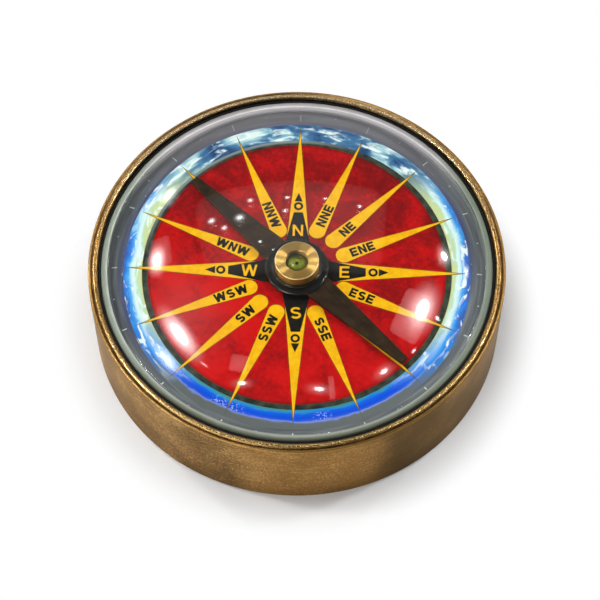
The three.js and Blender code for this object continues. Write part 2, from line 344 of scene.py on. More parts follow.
class Surface(Nodes):
    """A material, with coordinates in millimetres and the patterns used here."""

    def __init__(self, name):
        self.material = bpy.data.materials.new(name)
        super().__init__(self.material)
        place = self.node("ShaderNodeTexCoord").outputs["Object"]
        scaled = self.node("ShaderNodeVectorMath", {0: place, "Scale": 1 / MM}, operation="SCALE")
        self.place = scaled.outputs[0]
        self.x, self.y, self.z = self.node("ShaderNodeSeparateXYZ", {0: self.place}).outputs
        self.flat = self.node("ShaderNodeCombineXYZ", {0: self.x, 1: self.y}).outputs[0]
        self.radius = self.away_from(0, 0)

    def away_from(self, x, y):
        """Distance from an upright line."""
        values = {0: self.flat, 1: (x, y, 0)}
        return self.node("ShaderNodeVectorMath", values, operation="DISTANCE").outputs["Value"]

    def stretched(self, along, across, weight=1.3):
        """Coordinates that change slowly around the axis and fast outwards and upwards."""
        fast = self.times(self.math("ADD", self.times(self.radius, weight), self.z), across)
        slow_x = self.times(self.x, along)
        slow_y = self.times(self.y, along)
        return self.node("ShaderNodeCombineXYZ", {0: slow_x, 1: slow_y, 2: fast}).outputs[0]

    def noise(self, scale, detail=3, roughness=0.5, distortion=0, vector=None):
        values = {"Vector": vector or self.place, "Scale": scale, "Detail": detail}
        values |= {"Roughness": roughness, "Distortion": distortion}
        return self.node("ShaderNodeTexNoise", values).outputs["Fac"]

    def sum(self, *parts):
        """Weighted sum of values, from (value, weight) pairs."""
        total = 0
        for value, weight in parts:
            total = self.math("MULTIPLY_ADD", value, weight, total)
        return total

    def span(self, value, low, high, start=0, end=1):
        """A smooth step of a value from low to high."""
        values = {"Value": value, "From Min": low, "From Max": high, "To Min": start, "To Max": end}
        return self.node("ShaderNodeMapRange", values, interpolation_type="SMOOTHSTEP").outputs["Result"]

    def north(self, low, high, start=0, end=1):
        """A smooth step along y."""
        return self.span(self.y, low, high, start, end)

    def out(self, low, high, start=0, end=1):
        """A smooth step along the radius."""
        return self.span(self.radius, low, high, start, end)

    def near(self, point, far, close):
        """A smooth step from a far distance to a close one around a point."""
        return self.span(self.away_from(*point), far, close)

    def mix(self, factor, first, second):
        values = {0: factor, 6: first, 7: second}
        return self.node("ShaderNodeMix", values, data_type="RGBA").outputs[2]

    def bump(self, height, distance, strength=1):
        values = {"Height": height, "Distance": distance * MM, "Strength": strength}
        return self.node("ShaderNodeBump", values).outputs["Normal"]

    def mix_shader(self, factor, first, second):
        return self.node("ShaderNodeMixShader", {0: factor, 1: first, 2: second}).outputs[0]

    def principled(self, **values):
        sockets = {key.replace("_", " "): value for key, value in values.items()}
        return self.node("ShaderNodeBsdfPrincipled", sockets).outputs["BSDF"]

    def finish(self, shader):
        self.node("ShaderNodeOutputMaterial", {"Surface": shader})
        return self.material

    def coat(self, colour, roughness, gloss=0.5, **values):
        """Finishes as one principled shader."""
        values |= {"Base_Color": colour, "Roughness": roughness, "Specular_IOR_Level": gloss}
        return self.finish(self.principled(**values))

    def paper(self, colour, height):
        """Finishes as printed paper: hardly any gloss, slightly uneven."""
        return self.coat(colour, 0.6, 0.05, Normal=self.bump(height, 0.008))

    def brushed(self, colour, roughness, spread, **values):
        """Finishes as metal brushed around the axis, which spreads light across the brushing."""
        around = self.node("ShaderNodeTangent", direction_type="RADIAL", axis="Z").outputs["Tangent"]
        across = {"Anisotropic": spread, "Anisotropic_Rotation": 0.25, "Tangent": around}
        return self.coat(colour, roughness, Metallic=1, **across, **values)


# Materials of the case


def case_brass():
    """Antiqued satin brass: finely brushed around, browned in patches and stained, with painted shade
    towards the bottom and the south-east, a painted reflection facing the front and a painted highlight at
    the rim's edge.
    """
    mat = Surface("case_brass")
    streaks = mat.noise(1, 4, 0.65, vector=mat.stretched(0.1, 5))
    grain = mat.noise(2.6, 4, 0.7)
    patches = mat.noise(0.11, 4, 0.55)
    # Painted shade: darker towards the bottom and towards the south-east
    low = mat.span(mat.z, 11, 1)
    shaded_south_east = mat.span(mat.sum((mat.x, 0.8), (mat.y, -0.6)), 8, 36)
    stain = mat.near(on_dial(STAIN_BEARING, case_radius), 10, 3)
    # Painted reflection: lighter and more golden where the wall faces the front
    rubbed = mat.near(on_dial(SHEEN_BEARING, case_radius), 16, 8)
    worn = mat.sum((patches, 0.38), (streaks, 0.3), (grain, 0.8), (1, -0.235))
    brown = mat.tones(
        mat.sum((worn, 1), (low, -0.05), (shaded_south_east, -0.1), (stain, -0.06), (rubbed, 0.04)),
        (0.26, 48, 34, 19), (0.37, 80, 58, 34), (0.46, 117, 88, 54), (0.53, 149, 116, 73),
        (0.62, 194, 157, 104),
    )
    brown = mat.mix(mat.times(rubbed, 0.3), brown, rgb(182, 134, 68))
    # Painted highlight: a paler golden band along the rim's top edge
    edge = mat.span(mat.z, case_top - 0.42, case_top - 0.2, 0, 0.45)
    colour = mat.mix(edge, brown, rgb(186, 144, 80))
    normal = mat.bump(mat.sum((streaks, 0.4), (grain, 0.6)), 0.03, 0.45)
    roughness = mat.span(grain, 0.3, 0.7, 0.3, 0.44)
    return mat.brushed(colour, roughness, 0.4, Normal=normal, Specular_Tint=rgb(249, 230, 205))


def bezel_brass():
    """The same brass with brown flanks and dark pits, a painted highlight on its crown strongest to the
    south, paler to the north as a painted reflection, and painted shade on its inner flank to the north.
    """
    mat = Surface("bezel_brass")
    streaks = mat.noise(1, 3, 0.6, vector=mat.stretched(0.4, 3))
    grain = mat.noise(2.4, 3, 0.6)
    crown = mat.span(mat.z, bezel_top - 0.18, bezel_top - 0.02)
    both = mat.sum((streaks, 0.5), (grain, 0.5))
    gold = mat.tones(both, (0.4, 96, 68, 34), (0.5, 150, 113, 62), (0.6, 192, 152, 92))
    # Painted highlight: the crown paler golden, most towards the south
    rubbed = mat.times(crown, mat.north(-8, -28, 0.1, 0.65))
    gold = mat.mix(rubbed, gold, rgb(232, 198, 132))
    # Painted reflection: the whole ring paler towards the north
    gold = mat.mix(mat.north(4, 32, 0, 0.9), gold, rgb(240, 208, 156))
    pits = mat.span(grain, 0.5, 0.6)
    dirty = mat.math("SUBTRACT", 0.9, mat.times(crown, 0.6))
    colour = mat.mix(mat.times(pits, dirty), gold, rgb(66, 44, 20))
    inner = gasket_outer + RING_FIT
    flank = mat.out(inner + 0.45, inner + 0.15)
    shaded = mat.times(flank, mat.north(0, 24, 0, 0.9))
    colour = mat.mix(shaded, colour, rgb(34, 24, 14))
    normal = mat.bump(mat.math("SUBTRACT", streaks, pits), 0.02, 0.5)
    roughness = mat.sum((pits, 0.16), (crown, -0.1), (1, 0.36))
    return mat.brushed(colour, roughness, 0.3, Normal=normal)


def black_rubber():
    mat = Surface("black_rubber")
    grain = mat.noise(3, 4)
    colour = mat.tones(grain, (0.35, 4, 4, 4), (0.7, 14, 14, 14))
    return mat.coat(colour, 0.65, 0.15, Normal=mat.bump(grain, 0.02))


def clear_glass(name, mirrored, foot=None):
    """Clear glass that lets lamps and diffuse light through without bending it.

    With a foot radius, a pale grey painted highlight covers its surface just inside that on the north side.
    """
    mat = Surface(name)
    shader = mat.principled(
        Base_Color=rgb(250, 254, 252),
        Roughness=mat.span(mat.noise(0.12, 3), 0.55, 0.75, 0, 0.012),
        IOR=1.5,
        Transmission_Weight=1,
        Specular_Tint=(mirrored, mirrored, mirrored, 1),
    )
    if foot:
        # Painted highlight: pale grey over the glass just inside its foot, on the north side only
        painted_sheen = mat.times(mat.out(foot - SHEEN_WIDTH, foot, 0, 0.85), mat.north(12, 28))
        grey = rgb(176, 171, 174)
        pale = mat.principled(Base_Color=grey, Roughness=0.55, Specular_IOR_Level=0.25)
        shader = mat.mix_shader(painted_sheen, shader, pale)
    clear = mat.node("ShaderNodeBsdfTransparent", {"Color": rgb(249, 252, 250)}).outputs[0]
    rays = mat.node("ShaderNodeLightPath").outputs
    passing = mat.math("MAXIMUM", rays["Is Shadow Ray"], rays["Is Diffuse Ray"])
    return mat.finish(mat.mix_shader(passing, shader, clear))


def ground_glass(inner):
    """The flange's ground surface, grey-green, with a pale painted highlight at its inner edge and painted
    shade darkening it outwards.
    """
    mat = Surface("ground_glass")
    turning = mat.noise(1, 3, vector=mat.stretched(0.1, 2.6))
    cloud = mat.noise(0.5, 4)
    across = mat.out(inner, glass_radius)
    shade = mat.sum((across, 1), (turning, 0.3), (cloud, 0.3), (1, -0.3))
    side = mat.tones(
        shade, (0, 182, 188, 176), (0.25, 140, 149, 136), (0.8, 122, 131, 118), (1, 108, 117, 106)
    )
    # Painted shade: darker towards the east
    side = mat.mix(mat.span(mat.x, 12, 30, 0, 0.7), side, rgb(104, 114, 98))
    front = mat.tones(shade, (0.1, 144, 150, 138), (0.45, 110, 114, 98), (0.9, 70, 74, 62))
    back = mat.tones(
        shade, (0, 208, 206, 204), (0.2, 168, 165, 165), (0.5, 148, 145, 145), (0.9, 130, 127, 127)
    )
    # Painted shade: darker to the south; painted light: paler to the north
    colour = mat.mix(mat.north(-16, -30), side, front)
    colour = mat.mix(mat.north(14, 28), colour, back)
    return mat.coat(colour, 0.55, 0.25, Normal=mat.bump(turning, 0.02))


def pale_seat():
    mat = Surface("pale_seat")
    cloud = mat.noise(0.8, 4)
    colour = mat.tones(cloud, (0.3, 158, 170, 158), (0.7, 186, 196, 184))
    return mat.coat(colour, 0.5, Normal=mat.bump(cloud, 0.02))


def grey_spacer():
    mat = Surface("grey_spacer")
    turning = mat.noise(1, 3, vector=mat.stretched(0.2, 4))
    colour = mat.tones(turning, (0.3, 78, 82, 84), (0.7, 112, 116, 116))
    return mat.coat(colour, 0.5, Normal=mat.bump(turning, 0.02))


# Materials of the dial


def red_field():
    """Red print with brushed mottling, with painted shade towards the north and painted light towards the
    south-west.
    """
    mat = Surface("dial_red")
    cloud = mat.noise(0.16, 4, 0.6, 0.6)
    grain = mat.noise(1.4, 4, 0.6)
    # Painted shade towards the north and painted light towards the south-west
    north = mat.north(-6, 16)
    lit_south_west = mat.span(mat.sum((mat.x, -0.6), (mat.y, -0.8)), 2, 16)
    mottling = mat.sum((cloud, 0.6), (grain, 0.35))
    colour = mat.tones(
        mat.sum((mottling, 1), (north, -0.09), (lit_south_west, 0.06), (1, 0.025)),
        (0.3, 116, 7, 9), (0.42, 148, 8, 10), (0.5, 184, 8, 10), (0.62, 206, 14, 14),
    )
    edge = mat.out(RED_EDGE - 0.8, RED_EDGE, 0, 0.55)
    return mat.paper(mat.mix(edge, colour, rgb(74, 14, 14)), grain)


def dark_line():
    """Greenish black beside the red, with painted light greying it towards the sea ring on the north-west
    side.
    """
    mat = Surface("dial_line")
    cloud = mat.noise(0.6, 4)
    dark = mat.tones(cloud, (0.35, 34, 38, 32), (0.68, 68, 74, 62))
    # Painted light: grey over the outer part on the north-west side
    outer = mat.out(RED_EDGE + 0.25, RED_EDGE + 0.7, 0, 0.9)
    lit_north_west = mat.span(mat.sum((mat.y, 0.85), (mat.x, -0.5)), 15, 25)
    return mat.paper(mat.mix(mat.times(outer, lit_north_west), dark, rgb(136, 142, 142)), cloud)


def sea_ring():
    """Water colours: royal blue to the south, sky blue, white and straw at the sides, steel blue north."""
    mat = Surface("dial_sea")
    swell = mat.noise(0.13, 3, 0.45, 0.6, vector=mat.stretched(1, 1.2, 1))
    streaks = mat.noise(0.26, 3, 0.5, 0.9, vector=mat.stretched(1, 3, 1))
    out = mat.out(LINE_EDGE, SEA_EDGE)
    shallow = mat.north(1, 12, -0.7, -0.95)
    sides = mat.tones(
        mat.sum((out, 1), (swell, 0.7), (streaks, 0.7), (mat.x, 0.002), (shallow, 1)),
        (0, 206, 216, 160), (0.1, 190, 220, 198), (0.26, 232, 244, 242), (0.5, 200, 232, 244),
        (0.68, 84, 172, 238), (0.88, 48, 124, 222), (1, 64, 96, 176),
    )
    deep = mat.span(mat.sum((mat.y, 1), (swell, 8)), -5, -13, 0, 0.7)
    sides = mat.mix(deep, sides, rgb(36, 138, 236))
    south = mat.tones(
        mat.sum((out, 1), (streaks, 0.3), (swell, 0.15), (1, -0.22)),
        (0, 64, 136, 142), (0.06, 36, 136, 206), (0.16, 14, 92, 222), (0.5, 12, 74, 214),
        (0.68, 44, 88, 214), (0.78, 128, 142, 216), (0.88, 104, 107, 108),
    )
    north = mat.tones(
        mat.sum((swell, 0.65), (streaks, 0.35)),
        (0.38, 34, 70, 116), (0.48, 74, 118, 162), (0.55, 160, 200, 214), (0.64, 234, 243, 243),
    )
    colour = mat.mix(mat.north(-15, -24), sides, south)
    colour = mat.mix(mat.north(13, 23), colour, north)
    line = mat.times(mat.out(LINE_EDGE + 0.22, LINE_EDGE + 0.1), mat.north(-16, -8))
    line = mat.times(line, mat.north(20, 8))
    colour = mat.mix(line, colour, rgb(206, 204, 130))
    foam = mat.times(mat.span(streaks, 0.53, 0.68), mat.north(-24, -14))
    colour = mat.mix(foam, colour, rgb(246, 251, 251))
    # Painted glints: clusters of small white specks in three places near the south
    speck_cells = mat.node("ShaderNodeTexVoronoi", {"Vector": mat.place, "Scale": 4}).outputs["Distance"]
    painted_glints = 0
    for bearing in GLINT_BEARINGS:
        patch = mat.near(on_dial(bearing, GLINT_AT), GLINT_REACH, GLINT_REACH / 3)
        painted_glints = mat.math("MAXIMUM", patch, painted_glints)
    painted_glints = mat.times(painted_glints, mat.span(speck_cells, 0.34, 0.22))
    painted_glints = mat.times(painted_glints, mat.span(out, 0.76, 0.66))
    return mat.paper(mat.mix(painted_glints, colour, rgb(236, 244, 250)), swell)


def grey_ring():
    """Soft grey with faint streaks that run around, indigo beside the sea ring except to the south."""
    mat = Surface("dial_grey")
    streaks = mat.noise(1, 4, 0.55, 0.4, vector=mat.stretched(0.08, 1.2))
    colour = mat.tones(streaks, (0.34, 92, 93, 98), (0.5, 106, 107, 112), (0.66, 126, 127, 132))
    not_south = mat.span(mat.sum((mat.y, 1), (mat.x, -0.3)), -20, 2)
    fringe = mat.times(mat.out(INDIGO_EDGE, SEA_EDGE, 0, 0.6), not_south)
    colour = mat.mix(fringe, colour, rgb(48, 56, 116))
    colour = mat.mix(mat.north(12, 28, 0, 0.5), colour, rgb(124, 114, 122))
    return mat.paper(colour, streaks)


def ink(name, dark, light, share=None, other=None):
    """A printed colour, slightly uneven, with another mixed in where the share says."""
    mat = Surface(name)
    cloud = mat.noise(0.9, 4, 0.6)
    colour = mat.tones(cloud, (0.32, *dark), (0.68, *light))
    if share:
        colour = mat.mix(share(mat), colour, other)
    return mat.paper(colour, cloud)


def tick_white():
    """White marks, faint to the north, greyed there as painted shade."""
    white = ((196, 200, 196), (236, 238, 232))
    return ink("dial_white", *white, lambda mat: mat.north(16, 28, 0, 0.75), rgb(122, 120, 126))


def outline_ink():
    """Thin dark edge of the rays: reddish brown on the red, olive over the sea ring."""
    brown = ((76, 18, 10), (108, 36, 16))
    return ink("dial_outline", *brown, lambda mat: mat.out(RED_EDGE, LINE_EDGE), rgb(92, 88, 46))


# Materials of the needle and the pivot


def needle_lacquer():
    mat = Surface("needle_lacquer")
    cloud = mat.noise(0.5, 4, 0.6)
    rubbed = mat.noise(2.2, 4, 0.65)
    colour = mat.tones(cloud, (0.35, 34, 21, 11), (0.7, 58, 40, 24))
    roughness = mat.span(rubbed, 0.3, 0.7, 0.34, 0.55)
    return mat.coat(colour, roughness, 0.08, Normal=mat.bump(rubbed, 0.01))


def hub_black(name, smooth, worn, gloss):
    """Black moulding with a little wear."""
    mat = Surface(name)
    wear = mat.noise(1.2, 4, 0.6)
    colour = mat.tones(wear, (0.35, 6, 5, 4), (0.72, 20, 16, 12))
    roughness = mat.span(wear, 0.35, 0.7, smooth, worn)
    return mat.coat(colour, roughness, gloss, Normal=mat.bump(wear, 0.01))


def turned_brass(name, dark, middle, light):
    """Brass with fine turning rings, which spread the light across them."""
    mat = Surface(name)
    rings = mat.noise(1, 3, 0.6, vector=mat.stretched(0.02, 9))
    colour = mat.tones(rings, (0.3, *dark), (0.5, *middle), (0.7, *light))
    roughness = mat.span(rings, 0.3, 0.7, 0.29, 0.34)
    return mat.brushed(colour, roughness, 1, Normal=mat.bump(rings, 0.001, 0.3))


def rim_highlight_brass():
    """A painted highlight on the cap's rounded edge: brass paler than the cap's face."""
    mat = Surface("rim_highlight_brass")
    wear = mat.noise(1.5, 3)
    colour = mat.tones(wear, (0.3, 240, 208, 140), (0.7, 255, 238, 190))
    return mat.coat(colour, mat.span(wear, 0.3, 0.7, 0.3, 0.42), Metallic=1)


def green_glass():
    """Yellow-green glass, with painted shade at its rim and to the north, and a painted dark spot where the
    pin's point shows through it.
    """
    mat = Surface("green_glass")
    cloud = mat.noise(0.9, 3)
    colour = mat.tones(cloud, (0.3, 142, 150, 0), (0.7, 182, 186, 4))
    # Painted shade at the rim and to the north
    rim = mat.out(0.9, 1.9, 0, 0.8)
    dark = mat.math("MAXIMUM", rim, mat.north(0.2, 1.2, 0, 0.85))
    colour = mat.mix(dark, colour, rgb(26, 30, 2))
    # Painted dark spot where the pin's point shows through the glass
    point = mat.near((0, -0.35), 0.38, 0.2)
    colour = mat.mix(point, colour, rgb(14, 18, 4))
    roughness = mat.span(cloud, 0.3, 0.7, 0.02, 0.06)
    return mat.coat(colour, roughness, 0.3, Transmission_Weight=0.55, IOR=1.6)


def metal_sheet(name, dark, light, roughness):
    """Plain metal with fine rolled or ground grain, for the hidden pieces."""
    mat = Surface(name)
    grain = mat.noise(1, 3, 0.6, vector=mat.stretched(0.4, 6))
    colour = mat.tones(grain, (0.3, *dark), (0.7, *light))
    uneven = mat.span(grain, 0.3, 0.7, roughness, roughness + 0.12)
    return mat.coat(colour, uneven, Metallic=1, Normal=mat.bump(grain, 0.01, 0.5))


# Pieces of the case


def make_case():
    """Cup with foot ring, rounded wall, rebate, shoulder and dial ledge."""
    rebate = bezel_outer + RING_FIT
    bore = card_radius + RING_FIT
    cavity = bore - DIAL_LEDGE_WIDTH
    base_arc = case_radius - BASE_EDGE_ROUND
    foot_inner = base_arc - FOOT_WIDTH
    profile = [
        (0, FOOT_RECESS), (foot_inner, FOOT_RECESS), (foot_inner, 0),
        *arc(base_arc, BASE_EDGE_ROUND, BASE_EDGE_ROUND, -90, 0),
        *outer_round(case_radius, case_top, RIM_EDGE_ROUND),
        (rebate + RIM_CHAMFER, case_top), (rebate, case_top - RIM_CHAMFER), (rebate, shoulder_level),
        (bore, shoulder_level), (bore, plate_bottom), (cavity, plate_bottom),
        *arc(cavity - CAVITY_ROUND, FLOOR_TOP + CAVITY_ROUND, CAVITY_ROUND, 0, -90),
        (0, FLOOR_TOP),
    ]
    return revolve("case_shell", profile, case_brass())


def make_bezel():
    """Ring with a low round crown on top."""
    inner = gasket_outer + RING_FIT
    half_width = (bezel_outer - inner) / 2
    rise = bezel_top - case_top + CROWN_EDGE_BELOW_RIM
    crown = bulge(half_width, rise)
    edge = degrees(acos(half_width / crown))
    profile = [
        (inner, shoulder_level), (bezel_outer, shoulder_level),
        *arc(inner + half_width, bezel_top - crown, crown, edge, 180 - edge, 2 * EDGE_STEPS),
    ]
    return revolve("bezel_crown", profile, bezel_brass())


def make_gasket():
    """Seal with softly rounded top edges."""
    inner = glass_radius + RING_FIT
    edge = (gasket_outer - inner) / 4
    profile = [
        (inner, shoulder_level), (gasket_outer, shoulder_level),
        *outer_round(gasket_outer, gasket_top, edge),
        *inner_round(inner, gasket_top, edge),
    ]
    return revolve("gasket_seal", profile, black_rubber())


def sphere_cap(centre, sphere, level, steps=DOME_STEPS):
    """Section of a sphere on the axis, from its top down to a level."""
    edge = degrees(asin((level - centre) / sphere))
    points = arc(0, centre, sphere, 90, edge, steps)
    return [(0, centre + sphere), *points[1:]]


def make_lens():
    """Hollow dome between two spheres with one centre, a fillet, and its flat ground flange."""
    flange_top = flange_bottom + FLANGE_THICKNESS
    rise = dome_apex - flange_top
    sphere = bulge(glass_radius - FLANGE_WIDTH, rise)
    centre = dome_apex - sphere
    fillet_level = flange_top + FLANGE_FILLET
    fillet_radius = sqrt((sphere + FLANGE_FILLET) ** 2 - (fillet_level - centre) ** 2)
    lean = degrees(atan2(fillet_radius, fillet_level - centre))
    touch_level = centre + sphere * cos(radians(lean))
    profile = [
        *sphere_cap(centre, sphere - DOME_THICKNESS, flange_bottom),
        (fillet_radius, flange_bottom), (glass_radius, flange_bottom),
        *outer_round(glass_radius, flange_top, FLANGE_EDGE_ROUND),
        *arc(fillet_radius, fillet_level, FLANGE_FILLET, -90, -90 - lean),
        *reversed(sphere_cap(centre, sphere, touch_level)[:-1]),
    ]
    flange = (fillet_radius, ground_glass(fillet_radius))
    lens = revolve("domed_glass", profile, clear_glass("clear_glass", 1.0, fillet_radius), [flange])
    lens.data.materials.append(clear_glass("clear_glass_inside", 0.0))
    inside = len(lens.data.materials) - 1
    middle = Vector((0, 0, centre)) * MM
    halfway = (sphere - DOME_THICKNESS / 2) * MM
    for face in lens.data.polygons:
        if face.material_index == 0 and (face.center - middle).length < halfway:
            face.material_index = inside
    return lens


def square_ring(name, inner, outer, bottom, top, material):
    profile = [(inner, bottom), (outer, bottom), (outer, top), (inner, top)]
    return revolve(name, profile, material)


def make_seat_ring():
    inner = glass_radius - FLANGE_WIDTH
    return square_ring("seat_ring", inner, glass_radius, shoulder_level, flange_bottom, pale_seat())


def make_spacer():
    inner = spacer_outer - SPACER_WIDTH
    return square_ring("spacer_ring", inner, spacer_outer, card_top, shoulder_level, grey_spacer())


def make_card():
    """Printed disc, with a ring of faces for each printed zone."""
    zones = [(RED_EDGE, dark_line()), (LINE_EDGE, sea_ring()), (SEA_EDGE, grey_ring())]
    profile = [
        (STEM_HOLE_RADIUS, card_bottom), (card_radius, card_bottom), (card_radius, card_top),
        *((edge, card_top) for edge, _ in reversed(zones)),
        (STEM_HOLE_RADIUS, card_top),
    ]
    return revolve("printed_card", profile, red_field(), zones)


# Print on the dial, with outlines as (out, side) corners along a bearing


def ray_corners(grow):
    """Teardrop: a round inner end and straight sides that touch it and meet at the tip."""
    size = RAY_ROUND_RADIUS + grow
    slope = RAY_ROUND_RADIUS / (RAY_TIP - RAY_ROUND_CENTRE)
    tip = RAY_TIP + grow / slope
    touch = degrees(acos(size / (tip - RAY_ROUND_CENTRE)))
    return [(tip, 0), *arc(RAY_ROUND_CENTRE, 0, size, touch, 360 - touch, 4 * EDGE_STEPS)]


def cardinal_corners(grow):
    """Long triangle whose base meets the wedge's sides."""
    slope = CARDINAL_HALF_WIDTH / (CARDINAL_TIP - CARDINAL_BASE)
    half = CARDINAL_HALF_WIDTH + grow
    return [(CARDINAL_TIP + grow / slope, 0), (CARDINAL_BASE, half), (CARDINAL_BASE, -half)]


def wedge_corners():
    """Dark inner part of a cardinal ray, as wide as the ray and narrowing to a blunt end."""
    slope = CARDINAL_HALF_WIDTH / (WEDGE_TIP - CARDINAL_BASE)
    base, end = slope * (WEDGE_TIP - WEDGE_BASE), slope * (WEDGE_TIP - WEDGE_END)
    return [(WEDGE_END, end), (WEDGE_BASE, base), (WEDGE_BASE, -base), (WEDGE_END, -end)]


def arrow_corners():
    return [(ARROW_TIP, 0), (ARROW_BASE, ARROW_HALF_WIDTH), (ARROW_BASE, -ARROW_HALF_WIDTH)]


def tick_corners(length):
    half = TICK_WIDTH / 2
    inner = TICK_OUTER - length
    return [(TICK_OUTER, half), (TICK_OUTER, -half), (inner, -half), (inner, half)]


def ink_top(layer):
    return card_top + layer * INK_STEP


def stamp(shape, corners, bearing, layer):
    """Adds an outline, turned to a bearing, up to the top of a layer of ink."""
    outline = [on_dial(bearing, out, side) for out, side in corners]
    prism(shape, outline, card_top, ink_top(layer))


def add_ornament(shape, bearing, layer):
    """Adds a closed flat ring."""
    middle = on_dial(bearing, ORNAMENT_AT)
    outer = circle(ORNAMENT_OUTER, ORNAMENT_SIDES, *middle)
    inner = circle(ORNAMENT_INNER, ORNAMENT_SIDES, *middle)
    top = ink_top(layer)
    section = ((outer, card_top), (outer, top), (inner, top), (inner, card_top))
    loops = [loop_at(shape, *place) for place in section]
    for loop, following in zip(loops, loops[1:] + loops[:1]):
        join(shape, loop, following)


# Letters, as outlines one unit high


def letter_e(width, stroke):
    low, high = (1 - stroke) / 2, (1 + stroke) / 2
    arm = 0.93 * width
    return [
        (0, 0), (width, 0), (width, stroke), (stroke, stroke), (stroke, low), (arm, low),
        (arm, high), (stroke, high), (stroke, 1 - stroke), (width, 1 - stroke), (width, 1), (0, 1),
    ]


def letter_n(width, stroke):
    right = width - stroke
    drop = 1.7 * stroke
    return [
        (0, 0), (stroke, 0), (stroke, 1 - drop), (right, 0), (width, 0),
        (width, 1), (right, 1), (right, drop), (stroke, 1), (0, 1),
    ]


def letter_w(width, stroke):
    half = stroke / 2
    foot = 0.26 * width
    middle = width / 2
    valley = half / (foot - half)
    return [
        (0, 1), (foot - half, 0), (foot + half, 0), (middle, 1 - valley),
        (width - foot - half, 0), (width - foot + half, 0), (width, 1), (width - stroke, 1),
        (width - foot, valley), (middle + half, 1), (middle - half, 1), (foot, valley), (stroke, 1),
    ]


def letter_s(width, stroke):
    """A stroke along two oval bows that meet in the middle."""
    across, up = (width - stroke) / 2, (1 - stroke) / 4
    upper = [(angle, 0.5 + up) for angle in range(30, 271, 20)]
    lower = [(angle, 0.5 - up) for angle in range(70, -151, -20)]
    sides = {1: [], -1: []}
    for side, bow, sense in ((1, upper, 1), (-1, upper, -1), (1, lower, -1), (-1, lower, 1)):
        for angle, level in bow:
            turn = radians(angle)
            out_x, out_y = up * cos(turn), across * sin(turn)
            reach = sense * stroke / 2 / hypot(out_x, out_y)
            x = width / 2 + across * cos(turn) + reach * out_x
            sides[side].append((x, level + up * sin(turn) + reach * out_y))
    return sides[1] + sides[-1][::-1]


LETTERS = {"N": letter_n, "E": letter_e, "S": letter_s, "W": letter_w}


def add_text(shape, words, height, stroke, middle, angle, layer):
    """Adds closed letters, centred on a point and turned by an angle in degrees."""
    length = sum(LETTER_WIDTHS[letter] for letter in words) + LETTER_GAP * (len(words) - 1)
    turn = radians(angle)
    start = -length / 2
    for letter in words:
        outline = []
        for x, y in LETTERS[letter](LETTER_WIDTHS[letter], stroke):
            along, up = (start + x) * height, (y - 0.5) * height
            outline.append((
                middle[0] + along * cos(turn) - up * sin(turn),
                middle[1] + along * sin(turn) + up * cos(turn),
            ))
        prism(shape, outline, card_top, ink_top(layer))
        start += LETTER_WIDTHS[letter] + LETTER_GAP


def label_bearings():
    """Each label of the rays between the cardinal ones, with its bearing."""
    bearings = [360 * i / POINT_COUNT for i in range(POINT_COUNT)]
    return zip(LABELS, [bearing for bearing in bearings if bearing not in CARDINALS])


def draw_rays(shape, layer, grow=0):
    for _, bearing in label_bearings():
        stamp(shape, ray_corners(grow), bearing, layer)
    for bearing in CARDINALS:
        stamp(shape, cardinal_corners(grow), bearing, layer)


def draw_wedges(shape, layer):
    for bearing in CARDINALS:
        stamp(shape, wedge_corners(), bearing, layer)
        stamp(shape, arrow_corners(), bearing, layer)
        add_ornament(shape, bearing, layer)


def draw_labels(shape, layer):
    for words, bearing in label_bearings():
        reads_outward = bearing < 180
        angle = 90 - bearing if reads_outward else 270 - bearing
        add_text(shape, words, LABEL_HEIGHT, LABEL_STROKE, on_dial(bearing, LABEL_AT), angle, layer)


def draw_cardinals(shape, layer):
    for bearing, words in CARDINALS.items():
        middle = on_dial(bearing, BIG_LETTER_AT)
        add_text(shape, words, BIG_LETTER_HEIGHT, BIG_LETTER_STROKE, middle, 0, layer)


def draw_ticks(shape, layer):
    for i in range(TICK_COUNT):
        length = TICK_LONG if i % 2 == 0 else TICK_SHORT
        stamp(shape, tick_corners(length), 360 * i / TICK_COUNT, layer)


def printed(name, material, draw, *values):
    """A piece of print that a function draws into an empty shape."""
    shape = bmesh.new()
    draw(shape, *values)
    return mesh_object(name, shape, [material])


def make_print():
    """Everything printed over the card's zones, in layers of ink."""
    yellow = ink("dial_yellow", (238, 166, 6), (252, 190, 20))
    black = ink("dial_black", (12, 10, 8), (28, 24, 20))
    return [
        printed("print_outlines", outline_ink(), draw_rays, 1, RAY_OUTLINE),
        printed("print_rays", yellow, draw_rays, 2),
        printed("print_wedges", black, draw_wedges, 3),
        printed("print_labels", black, draw_labels, 3),
        printed("print_cardinals", yellow, draw_cardinals, 4),
        printed("print_ticks", tick_white(), draw_ticks, 2),
    ]


# Pieces of the needle


def make_bar():
    """Lozenge with straight sides that touch a round eye and run out to blunt tips."""
    eye = NEEDLE_WIDTH / 2
    half_tip = NEEDLE_TIP_WIDTH / 2
    touch = atan2(half_tip, NEEDLE_REACH) + acos(eye / hypot(NEEDLE_REACH, half_tip))
    touch = degrees(touch)
    outline = [
        (NEEDLE_REACH, -half_tip), (NEEDLE_REACH, half_tip),
        *arc(0, 0, eye, touch, 180 - touch),
        (-NEEDLE_REACH, half_tip), (-NEEDLE_REACH, -half_tip),
        *arc(0, 0, eye, 180 + touch, 360 - touch),
    ]
    shape = bmesh.new()
    pierced_plate(shape, outline, circle(HUB_SPIGOT_RADIUS + RING_FIT, EYE_SIDES), bar_bottom, bar_top)
    bar = mesh_object("lozenge_bar", shape, [needle_lacquer()])
    bar.data.transform(Matrix.Rotation(radians(NEEDLE_REST_ANGLE), 4, "Z"))
    rounding = bar.modifiers.new("edge_round", "BEVEL")
    rounding.width = NEEDLE_EDGE_ROUND * MM
    rounding.segments = BAR_EDGE_STEPS
    return bar


